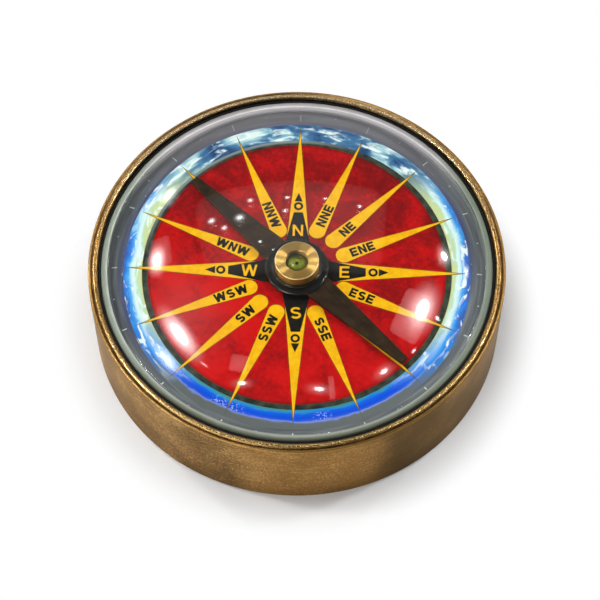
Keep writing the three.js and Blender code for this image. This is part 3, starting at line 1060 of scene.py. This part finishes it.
def make_hub():
    """Spigot, round-edged flange and the raised collar around the cap."""
    collar_inner = cap_radius + RING_FIT
    collar_outer = collar_inner + HUB_COLLAR_WIDTH
    profile = [
        (HUB_BORE_RADIUS, hub_bottom), (HUB_SPIGOT_RADIUS, hub_bottom),
        (HUB_SPIGOT_RADIUS, bar_top), (hub_radius, bar_top),
        *outer_round(hub_radius, cap_bottom, HUB_FLANGE_ROUND),
        (collar_outer, cap_bottom),
        *outer_round(collar_outer, hub_top, HUB_COLLAR_ROUND),
        *inner_round(collar_inner, hub_top, HUB_COLLAR_ROUND),
        (collar_inner, cap_bottom), (HUB_BORE_RADIUS, cap_bottom),
    ]
    flat = hub_black("hub_black", 0.1, 0.2, 0.2)
    gloss = hub_black("hub_gloss", 0.02, 0.07, 1.0)
    zones = [(collar_inner, gloss), (collar_outer, flat), (hub_radius - HUB_FLANGE_ROUND, gloss)]
    return revolve("hub_disc", profile, flat, zones)


def make_cap(material):
    """Turned cap with rounded rim, round window and the wider bore for the jewel."""
    bore = jewel_radius + RING_FIT
    profile = [
        (bore, cap_bottom), (cap_radius, cap_bottom),
        *outer_round(cap_radius, cap_top, CAP_EDGE_ROUND),
        (CAP_HOLE_RADIUS + CAP_HOLE_CHAMFER, cap_top),
        (CAP_HOLE_RADIUS, cap_top - CAP_HOLE_CHAMFER),
        (CAP_HOLE_RADIUS, cap_bottom + JEWEL_SKIRT_HEIGHT),
        (bore, cap_bottom + JEWEL_SKIRT_HEIGHT),
    ]
    # Painted highlight on the rounded edge
    edge = rim_highlight_brass()
    # Painted shade: the side gets a darker copy of the cap's brass
    side = turned_brass("shaded_side_brass", (170, 122, 56), (194, 144, 70), (216, 166, 88))
    zones = [(cap_radius - CAP_EDGE_ROUND, edge), (cap_radius - CAP_SIDE_DEPTH, side)]
    return revolve("turned_cap", profile, material, zones)


def make_jewel():
    """Skirt, rounded top and conical cup."""
    shoulder = cap_bottom + JEWEL_SKIRT_HEIGHT
    rise = jewel_top - shoulder
    sphere = bulge(CAP_HOLE_RADIUS - RING_FIT, rise)
    profile = [
        (0, cap_bottom + JEWEL_CUP_DEPTH),
        (JEWEL_CUP_RADIUS, cap_bottom), (jewel_radius, cap_bottom), (jewel_radius, shoulder),
        *reversed(sphere_cap(jewel_top - sphere, sphere, shoulder, EDGE_STEPS)),
    ]
    return revolve("glass_jewel", profile, green_glass())


# Assembly


def stand_for(piece, body, node=None):
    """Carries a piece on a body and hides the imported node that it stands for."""
    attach(piece, body)
    if node:
        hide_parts(node)


def dress(node, material):
    """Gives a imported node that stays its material."""
    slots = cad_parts[node].data.materials
    slots.clear()
    slots.append(material)


def assemble():
    bright_brass = turned_brass("turned_brass", (190, 142, 70), (210, 164, 88), (230, 190, 114))
    stand_for(make_case(), "case", "case_body")
    stand_for(make_bezel(), "case", "bezel_ring")
    stand_for(make_gasket(), "case", "lens_gasket")
    stand_for(make_lens(), "case", "lens_dome")
    stand_for(make_seat_ring(), "case", "lens_seat_ring")
    stand_for(make_spacer(), "case", "dial_spacer_ring")
    stand_for(make_card(), "case", "dial_card")
    for piece in make_print():
        stand_for(piece, "case")
    stand_for(make_bar(), "needle", "needle_bar")
    stand_for(make_hub(), "needle", "needle_hub")
    stand_for(make_cap(bright_brass), "needle", "needle_cap")
    stand_for(make_jewel(), "needle", "cap_jewel")
    for node in ("pivot_post", "pivot_washer", "pivot_nut"):
        dress(node, bright_brass)
    dress("dial_plate", metal_sheet("plate_aluminium", (186, 188, 190), (214, 216, 218), 0.4))
    dress("pivot_pin", metal_sheet("pin_steel", (158, 160, 164), (206, 208, 212), 0.22))


# Stage

CAMERA_DISTANCE = 375.0
CAMERA_ELEVATION = 59.65
CAMERA_BEARING = 178.6
CAMERA_LENS = 125.29
CAMERA_NEAR = 10.0
SENSOR_WIDTH = 36.0
AIM_FORWARD = -7.57
AIM_SIDE = 0.54
LAMP_DISTANCE = 800.0
HALO_SETBACK = 10.0
PANEL_SETBACK = 20.0
LAMP_FALLOFF = 2.0
SPOT_FALLOFF = 4.0
GLOW_FALLOFF = 2.0
HALO_FALLOFF = 3.0
HALO_SPREAD = 3.8
PANEL_FALLOFF = 0.3
SPOT_BRIGHTNESS = 45
OVAL = 2.0
SQUARED = 8.0
HORIZON = 0.05
OVERHEAD = 0.3
PALE_SKY = (0.9, 0.9, 0.9, 1)
DARK_SKY = (0.08, 0.08, 0.082, 1)
FLOOR_SIZE = 4000.0
FLOOR_DROP = 0.02
FLOOR_LIFT = 0.06
FLOOR_GREY = (0.84, 0.84, 0.84, 1)
FLOOR_PALE = (0.88, 0.88, 0.88, 1)
SHADOW_REACH = 46.0


def make_camera():
    """The photograph's view: above the front edge, aimed just in front of the rim's middle."""
    tilt = radians(CAMERA_ELEVATION)
    settings = bpy.data.cameras.new("camera")
    settings.lens = CAMERA_LENS
    settings.sensor_width = SENSOR_WIDTH
    settings.clip_start = CAMERA_NEAR * MM
    camera = new_object("camera", settings)
    place = on_dial(CAMERA_BEARING, CAMERA_DISTANCE * cos(tilt))
    camera.location = Vector((*place, CAMERA_DISTANCE * sin(tilt) + case_top)) * MM
    aim = Vector((*on_dial(CAMERA_BEARING - 180, AIM_FORWARD, AIM_SIDE), case_top)) * MM
    camera.rotation_euler = (aim - camera.location).to_track_quat("-Z", "Y").to_euler()
    bpy.context.scene.camera = camera


def fading_light(lamp, squareness, falloff, halo):
    """Fades a lamp from its middle to its edge, as an oval or a squared panel, down to its halo."""
    tree = Nodes(lamp)
    place = tree.node("ShaderNodeNewGeometry").outputs["Parametric"]
    parts = tree.node("ShaderNodeSeparateXYZ", {0: place}).outputs
    powers = []
    for share in parts[:2]:
        aside = tree.math("ABSOLUTE", tree.math("MULTIPLY_ADD", share, 2, -1))
        powers.append(tree.math("POWER", aside, squareness))
    reach = tree.math("POWER", tree.math("ADD", *powers), 1 / squareness)
    inside = tree.math("MAXIMUM", tree.math("SUBTRACT", 1, reach), 0)
    strength = tree.math("POWER", inside, falloff)
    if halo:
        rest = tree.math("MULTIPLY_ADD", reach, -1 / HALO_SPREAD, 1)
        strength = tree.math("MULTIPLY_ADD", tree.math("POWER", rest, HALO_FALLOFF), halo, strength)
    emission = tree.node("ShaderNodeEmission", {"Strength": strength}).outputs[0]
    tree.node("ShaderNodeOutputLight", {0: emission})


def make_light(name, bearing, elevation, size, roll, brightness, squareness, falloff, halo=0, setback=0):
    """A lamp seen at a bearing and an elevation from the compass; brightness is that of its middle.

    Bearings turn clockwise from the direction that the camera looks in.
    """
    lamp = bpy.data.lights.new(name, "AREA")
    lamp.size, lamp.size_y = size[0] * MM, size[1] * MM
    area = lamp.size * lamp.size_y
    lamp.shape = "RECTANGLE"
    if squareness == OVAL:
        lamp.shape = "ELLIPSE"
        area *= pi / 4
    lamp.energy = brightness * pi * area
    fading_light(lamp, squareness, falloff, halo / brightness)
    holder = new_object(name, lamp)
    tilt = radians(elevation)
    toward = Vector((*on_dial(bearing + CAMERA_BEARING - 180, cos(tilt)), sin(tilt)))
    holder.location = Vector((0, 0, case_top)) * MM + toward * (LAMP_DISTANCE + setback) * MM
    turned = Matrix.Rotation(radians(roll), 4, "Z")
    holder.rotation_euler = (toward.to_track_quat("Z", "Y").to_matrix().to_4x4() @ turned).to_euler()


def make_lamp(name, bearing, elevation, size, roll, brightness, halo=0):
    """A bright oval with a soft edge, in front of a wider halo if one is given."""
    make_light(name, bearing, elevation, size, roll, brightness, OVAL, LAMP_FALLOFF, halo)
    if halo:
        wide = [side * HALO_SPREAD for side in size]
        make_light(f"{name}_halo", bearing, elevation, wide, roll, halo, OVAL, HALO_FALLOFF, 0, HALO_SETBACK)


def make_glow(*light):
    """A wide oval that fades slowly."""
    make_light(*light, OVAL, GLOW_FALLOFF, setback=PANEL_SETBACK)


def make_panel(*light):
    """An even panel with a clear edge."""
    make_light(*light, SQUARED, PANEL_FALLOFF, setback=PANEL_SETBACK)


def make_ceiling_spots():
    """Small lamps on the ceiling, as bearing, elevation and size."""
    spots = (
        (-20, 47.5, 64), (-28.5, 44.5, 52), (-26.5, 48.5, 44), (-14.5, 43, 40), (-3, 44, 34),
        (-4, 48.5, 38), (9, 43.7, 26), (20, 43.3, 32), (-16.5, 57, 28), (-12, 60.5, 18),
    )
    for i, (bearing, elevation, size) in enumerate(spots):
        name = f"ceiling_spot_{i}"
        make_light(name, bearing, elevation, (size, size), 0, SPOT_BRIGHTNESS, OVAL, SPOT_FALLOFF)


def make_lights():
    """Names, bearings, elevations, sizes, rolls, brightness and, for some, the halo's brightness."""
    make_lamp("right_lamp", 67, 54, (90, 42), 137, 800, 36)
    make_panel("right_window", 69, 57.4, (210, 116), 138, 3.2)
    make_lamp("right_high_lamp", 71.6, 50.7, (30, 24), 12, 60)
    make_lamp("right_low_lamp", 87, 58.7, (36, 15), 143, 50)
    make_lamp("east_lamp", 57, 37, (60, 24), 153, 25)
    make_lamp("left_lamp", -78, 58, (100, 31), 44, 1150, 60)
    make_lamp("left_high_lamp", -90, 55, (200, 66), 36, 30)
    make_lamp("left_low_lamp", -97, 64.8, (60, 16), 38, 14)
    make_lamp("back_left_lamp", -50, 42.5, (48, 26), 41, 2300, 60)
    make_panel("back_left_window", -47, 42, (134, 70), 52, 1.5)
    make_lamp("back_low_lamp", -32, 28.6, (110, 60), 32, 24)
    make_lamp("back_right_lamp", 50, 40, (36, 21), 146, 2300, 24)
    make_lamp("front_lamp", 153, 77, (45, 20), 148, 85, 8)
    make_lamp("front_right_lamp", 103, 66, (42, 21), 144, 85, 8)
    make_panel("front_left_window", -104, 74, (73, 69), 60, 2)
    make_lamp("front_left_lamp", -122.5, 72.4, (40, 18), 52, 75, 6)
    make_panel("front_pillar", 140, 75.5, (92, 24), 55, 2)
    make_panel("ceiling_panel", -2, 53, (670, 440), 0, 0.65)
    make_glow("left_glow", -68, 58, (760, 560), 40, 1.1)
    make_glow("front_fill", 215, 38, (900, 600), 0, 10)
    make_ceiling_spots()


def make_world():
    """Pale all round at the horizon and dark overhead, so the glass stays clear."""
    world = bpy.data.worlds.new("world")
    bpy.context.scene.world = world
    tree = Nodes(world)
    place = tree.node("ShaderNodeTexCoord").outputs["Generated"]
    up = tree.node("ShaderNodeSeparateXYZ", {0: place}).outputs["Z"]
    sky = tree.ramp(up, (HORIZON, PALE_SKY), (OVERHEAD, DARK_SKY))
    background = tree.node("ShaderNodeBackground", {"Color": sky}).outputs[0]
    tree.node("ShaderNodeOutputWorld", {"Surface": background})


def make_floor():
    """Pale floor that takes the shadow near the compass and stays white far away."""
    mat = Surface("floor")
    colour = mat.ramp(mat.noise(0.02, 2), (0.3, FLOOR_GREY), (0.7, FLOOR_PALE))
    lit = mat.node("ShaderNodeBsdfDiffuse", {"Color": colour}).outputs[0]
    white = mat.node("ShaderNodeEmission", {"Color": (1, 1, 1, 1), "Strength": 1}).outputs[0]
    rays = mat.node("ShaderNodeLightPath").outputs
    seen = mat.math("MAXIMUM", rays["Is Camera Ray"], rays["Is Glossy Ray"])
    seen = mat.math("MAXIMUM", seen, rays["Is Transmission Ray"])
    far = mat.times(mat.out(case_radius, SHADOW_REACH, FLOOR_LIFT, 1), seen)
    material = mat.finish(mat.mix_shader(far, lit, white))
    shape = bmesh.new()
    half = FLOOR_SIZE / 2
    corners = [(-half, -half), (half, -half), (half, half), (-half, half)]
    shape.faces.new(loop_at(shape, corners, -FLOOR_DROP))
    floor = mesh_object("floor", shape, [material])


assemble()
make_camera()
make_lights()
make_world()
make_floor()
bpy.context.scene.view_settings.view_transform = "Standard"
